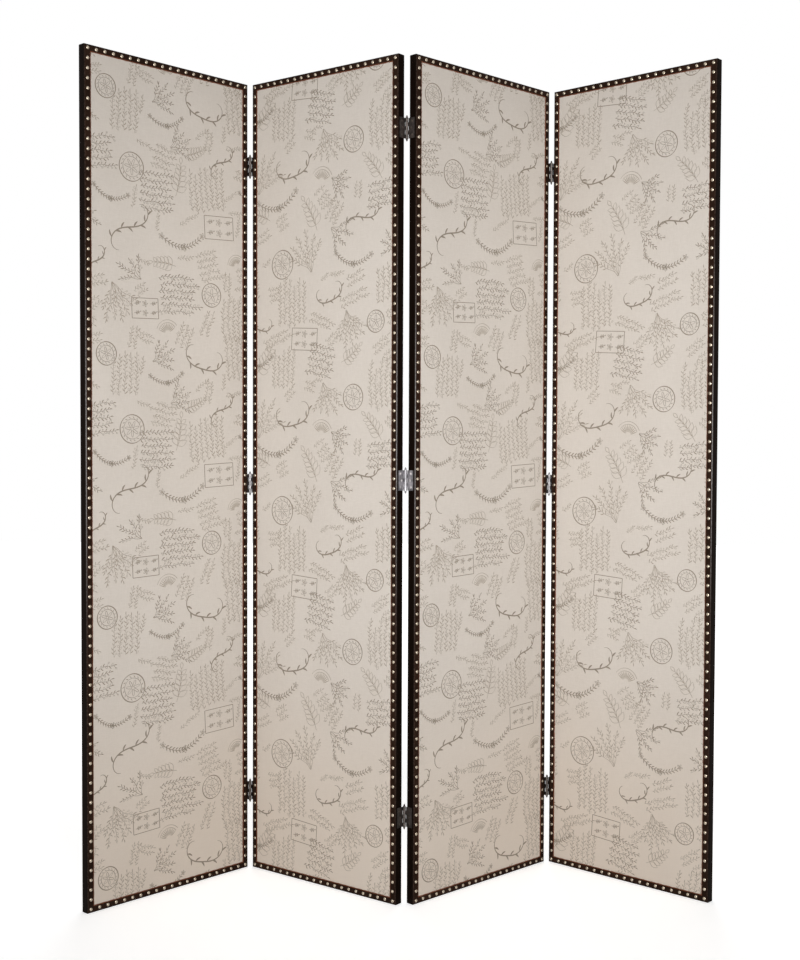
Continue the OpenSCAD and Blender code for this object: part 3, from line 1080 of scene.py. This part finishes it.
class SCREEN_OT_leather(Operator):
    """Wrap the four edges of each panel in leather"""
    bl_idname = "screen.leather"
    bl_label = "Leather edges"

    def execute(self, context):
        leather = context.scene.folding_screen.leather
        finish = leather_finish(leather, PANELS[0])
        for panel in PANELS:
            points, faces = joined(
                band_strip(leather, panel, edge) for edge in ("left", "right", "bottom", "top")
            )
            name = f"leather_edge_{panel.number}"
            piece = new_piece(name, points, faces, panel, [finish])
            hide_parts(panel.node("edge_band"))
        return {"FINISHED"}


def nail_head(nails, around=14, rings=6):
    """Points and faces of one head that stands on z = 0: a cap of a sphere on a thin rim."""
    rise = DOME_HEIGHT - nails.rim
    ball = (nails.radius**2 + rise**2) / (2 * rise)
    slopes = np.linspace(math.asin(nails.radius / ball), 0.0, rings + 1)[:-1]
    radii = [nails.radius * 0.97, *(ball * np.sin(slopes))]
    heights = [0.0, *(DOME_HEIGHT - ball * (1 - np.cos(slopes)))]
    turn = np.arange(around) * math.tau / around
    points = [
        (radius * math.cos(a), radius * math.sin(a), height)
        for radius, height in zip(radii, heights)
        for a in turn
    ]
    points.append((0.0, 0.0, DOME_HEIGHT))
    faces = grid_faces(len(radii), around, closed=True)
    last = (len(radii) - 1) * around
    faces += [(last + k, last + (k + 1) % around, len(points) - 1) for k in range(around)]
    faces.append(tuple(range(around))[::-1])
    return np.array(points), faces


def driven_nails(settings, panel, face, head):
    """Points of one face's nails, each a little off its place and off upright."""
    nails, side = settings.nails, FACES[face]
    dice = random.Random(panel.number * 10 + (side == BACK))
    base = panel.face - settings.leather.dent * 0.7
    places, _ = panel.nail_places(face)
    if len(places) < 4:
        raise RuntimeError(f"{panel.node('nails_' + face)} shows no nails")
    for x, z in places:
        lean = Matrix.Rotation(dice.uniform(-1, 1) * nails.lean, 3, "X")
        lean = Matrix.Rotation(dice.uniform(-1, 1) * nails.lean, 3, "Y") @ lean
        spin = Matrix.Rotation(dice.uniform(0, math.tau), 3, "Z")
        shaped = head @ np.array(lean @ spin).T
        x += dice.uniform(-1, 1) * nails.wander
        z += dice.uniform(-1, 1) * nails.wander
        yield zipped(x + shaped[:, 0] * -side, side * (base + shaped[:, 2]), z + shaped[:, 1])


class SCREEN_OT_nails(Operator):
    """Drive the rows of domed nails into the leather"""
    bl_idname = "screen.nails"
    bl_label = "Domed nails"

    def execute(self, context):
        settings = context.scene.folding_screen
        finish = nail_finish(settings.nails, PANELS[0])
        head, head_faces = nail_head(settings.nails)
        for panel in PANELS:
            for face in FACES:
                nails = driven_nails(settings, panel, face, head)
                points, faces = joined((nail, head_faces) for nail in nails)
                name = f"nails_{panel.number}_{face}"
                piece = new_piece(name, points, faces, panel, [finish])
                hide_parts(panel.node(f"nails_{face}"))
        return {"FINISHED"}


def coat(node, material):
    """Gives a CAD node its material."""
    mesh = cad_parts[node].data
    mesh.materials.clear()
    mesh.materials.append(material)


class SCREEN_OT_hinges(Operator):
    """Finish the leaves, pins and screws of the hinges"""
    bl_idname = "screen.hinges"
    bl_label = "Hinges"

    def execute(self, context):
        hinges = context.scene.folding_screen.hinges
        leaf_steel = steel_finish("hinge steel", hinges.steel, hinges.shade_tint, roughness=0.36)
        screw_steel = steel_finish("screw steel", hinges.screw, hinges.shade_tint, roughness=0.25)
        named = [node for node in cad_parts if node.startswith("hinges_")]
        if not named:
            raise RuntimeError("the frame has no hinges")
        for node in named:
            coat(node, screw_steel if "screws" in node else leaf_steel)
        return {"FINISHED"}


class SCREEN_OT_timber(Operator):
    """Finish the timber and hardboard inside the panels"""
    bl_idname = "screen.timber"
    bl_label = "Timber inside"

    def execute(self, context):
        timber = context.scene.folding_screen.timber
        upright = timber_finish("stile timber", timber.pine, (0.0, 0.0, 1.0))
        hardboard = hardboard_finish(timber)
        for panel in PANELS:
            across = tuple(panel.matrix.to_3x3() @ Vector((1.0, 0.0, 0.0)))
            level = timber_finish(f"rail timber {panel.number}", timber.pine, across)
            coat(panel.node("stiles"), upright)
            coat(panel.node("rails"), level)
            for face in FACES:
                coat(panel.node(f"skin_{face}"), hardboard)
        return {"FINISHED"}


FLOOR_REACH = 12.0
# Width of the camera's sensor in millimetres, along the picture's longer side
SENSOR_WIDTH = 36.0
# Lamps: distance before and behind the screen, places left and right of it, height, size and beam
LAMP_AWAY = 3.0
LAMPS_ACROSS = {"left": -0.9, "right": 0.7}
LAMP_HEIGHT = 1.3
LAMP_SIZE = (1.2, 2.0)
LAMP_SPREAD = math.radians(90.0)


def shown_rays(tree):
    """1 for the rays that show the background: from the camera, off metal or through glass."""
    rays = tree.nodes.new("ShaderNodeLightPath")
    kinds = ("Is Camera Ray", "Is Glossy Ray", "Is Transmission Ray")
    seen, mirrored, through = (Value(tree, rays.outputs[kind]) for kind in kinds)
    return (seen + mirrored + through).least(1.0)


def floor_finish(stage):
    """Pale floor that keeps the shadow near the screen and shows plain white far from it."""
    finish = Finish("pale floor", {
        "Base Color": rgba(stage.floor), "Roughness": 0.95, "Specular IOR Level": 0.0,
        "Emission Strength": 1.0,
    })
    away = finish.vector("LENGTH", {0: finish.place()}, "Value")
    white = finish.ease(away, stage.clearing * 0.3, stage.clearing, stage.glow, 1.0)
    shown = shown_rays(finish.tree) * white
    finish.set({"Emission Color": finish.mix(shown, rgba((0.0, 0.0, 0.0)), rgba((1.0, 1.0, 1.0)))})
    return finish.material


def area_lamp(name, power, x, y):
    """A soft lamp at a place of the plan, turned straight to the line that the screen stands along."""
    lamp = bpy.data.lights.new(name, "AREA")
    lamp.energy = power
    lamp.shape = "RECTANGLE"
    lamp.size, lamp.size_y = LAMP_SIZE
    lamp.spread = LAMP_SPREAD
    holder = bpy.data.objects.new(name, lamp)
    bpy.context.scene.collection.objects.link(holder)
    holder.location = (x, y, LAMP_HEIGHT)
    holder.rotation_euler = Vector((0.0, -y, 0.0)).to_track_quat("-Z", "Y").to_euler()
    holder.visible_camera = False


def white_sky(stage):
    """World that lights the object at a plain level and shows white to the camera and in metal."""
    world = bpy.data.worlds.new("studio")
    world.use_nodes = True
    bpy.context.scene.world = world
    tree = world.node_tree
    light = stage.sky + (1.0 - stage.sky) * shown_rays(tree)
    background = tree.nodes["Background"]
    plug(tree, background.inputs["Strength"], light)
    background.inputs["Color"].default_value = (1.0, 1.0, 1.0, 1.0)


class SCREEN_OT_stage(Operator):
    """Set up the floor, the lamps and the camera"""
    bl_idname = "screen.stage"
    bl_label = "Stage"

    def execute(self, context):
        stage = context.scene.folding_screen.stage
        mesh = bpy.data.meshes.new("floor")
        corners = np.array([(-1, -1, 0), (1, -1, 0), (1, 1, 0), (-1, 1, 0)]) * FLOOR_REACH
        mesh.from_pydata(corners.tolist(), [], [(0, 1, 2, 3)])
        mesh.materials.append(floor_finish(stage))
        floor = bpy.data.objects.new("floor", mesh)
        context.scene.collection.objects.link(floor)
        white_sky(stage)
        for side, power in (("left", stage.left_power), ("right", stage.right_power)):
            for face, way in FACES.items():
                area_lamp(f"{face} {side}", power, LAMPS_ACROSS[side], way * LAMP_AWAY)
        camera = bpy.data.cameras.new("camera")
        camera.sensor_width = SENSOR_WIDTH
        camera.lens = stage.focal_pixels * SENSOR_WIDTH / stage.picture_height
        camera.shift_x = -stage.off_right / stage.picture_height
        camera.shift_y = stage.off_down / stage.picture_height
        holder = bpy.data.objects.new("camera", camera)
        context.scene.collection.objects.link(holder)
        pitch = Matrix.Rotation(math.pi / 2 - stage.pitch, 4, "X")
        roll = Matrix.Rotation(stage.roll, 4, "Z")
        holder.matrix_world = Matrix.Translation(stage.eye) @ (pitch @ roll)
        context.scene.camera = holder
        context.scene.view_settings.view_transform = "Standard"
        return {"FINISHED"}


OPERATORS = (
    SCREEN_OT_stage, SCREEN_OT_timber, SCREEN_OT_cloth, SCREEN_OT_leather, SCREEN_OT_nails,
    SCREEN_OT_hinges,
)


class SCREEN_PT_sidebar(Panel):
    """Sizes and colours of the screen, and the steps that dress it"""
    bl_idname = "SCREEN_PT_sidebar"
    bl_label = "Folding Screen"
    bl_space_type = "VIEW_3D"
    bl_region_type = "UI"
    bl_category = "Screen"

    def draw(self, context):
        settings = context.scene.folding_screen
        for operator in OPERATORS:
            self.layout.operator(operator.bl_idname)
        for name, group in SETTINGS.items():
            box = self.layout.box()
            box.label(text=name.capitalize())
            for field in group.__annotations__:
                box.prop(getattr(settings, name), field)


CLASSES = (*SETTINGS.values(), ScreenSettings, *OPERATORS, SCREEN_PT_sidebar)


def register():
    for item in CLASSES:
        bpy.utils.register_class(item)
    bpy.types.Scene.folding_screen = PointerProperty(type=ScreenSettings)


def unregister():
    del bpy.types.Scene.folding_screen
    for item in reversed(CLASSES):
        bpy.utils.unregister_class(item)


def main():
    register()
    bpy.ops.screen.stage()
    bpy.ops.screen.timber()
    bpy.ops.screen.cloth()
    bpy.ops.screen.leather()
    bpy.ops.screen.nails()
    bpy.ops.screen.hinges()


if __name__ == "__main__":
    main()
